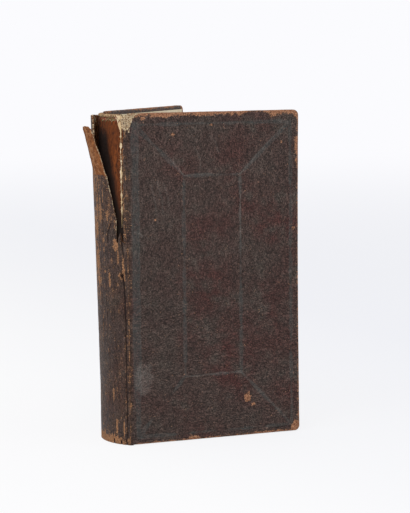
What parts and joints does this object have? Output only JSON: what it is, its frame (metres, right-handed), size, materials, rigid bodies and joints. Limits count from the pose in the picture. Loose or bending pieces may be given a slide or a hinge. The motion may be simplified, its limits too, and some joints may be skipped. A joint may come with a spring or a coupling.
{
  "type": "antique leather book",
  "caption": "Small old book in dark blind-tooled leather, standing on its tail; covers hinge on a torn, rounded spine.",
  "frame": {"origin": "centre of the footprint, on the surface that the book stands on", "axes": "+Z from tail to head, +X from the spine to the fore-edge, +Y from the front cover to the back cover"},
  "size_m": [0.1106, 0.1068, 0.17],
  "materials": {
    "leaves": "aged rag paper, deckled and browned at the edges",
    "hemp_cord": "hemp cord, matte",
    "spine_lining": "old animal glue and leather dust, matte",
    "lining_paper": "torn waste paper, matte",
    "endband": "silk thread over a core, matte",
    "endpaper": "laid paper, matte",
    "spine_leather": "worn calf, rubbed to tan at the joints",
    "pasteboard": "pasteboard, matte",
    "cover_leather": "pebbled dark brown leather, blind tooled, satin"
  },
  "bodies": {
    "text_block": {"text_block": "leaves", "sewing_cords": "hemp_cord", "spine_lining": "spine_lining", "lining_scrap": "lining_paper", "head_band": "endband", "tail_band": "endband", "front_endleaf": "endpaper", "back_endleaf": "endpaper", "spine_leather": "spine_leather"},
    "front_cover": {"front_board": "pasteboard", "front_slips": "hemp_cord", "front_leather": "cover_leather", "front_pastedown": "endpaper"},
    "back_cover": {"back_board": "pasteboard", "back_slips": "hemp_cord", "back_leather": "cover_leather", "back_pastedown": "endpaper"}
  },
  "joints": [
    {"name": "front_cover_hinge", "type": "hinge", "parent": "text_block", "child": "front_cover", "pos_m": [-0.03972, -0.05338, 0], "axis": [0, 0, -1], "range_deg": [0, 180]},
    {"name": "back_cover_hinge", "type": "hinge", "parent": "text_block", "child": "back_cover", "pos_m": [-0.03972, -0.01338, 0], "axis": [0, 0, 1], "range_deg": [-45, 135]}
  ]
}
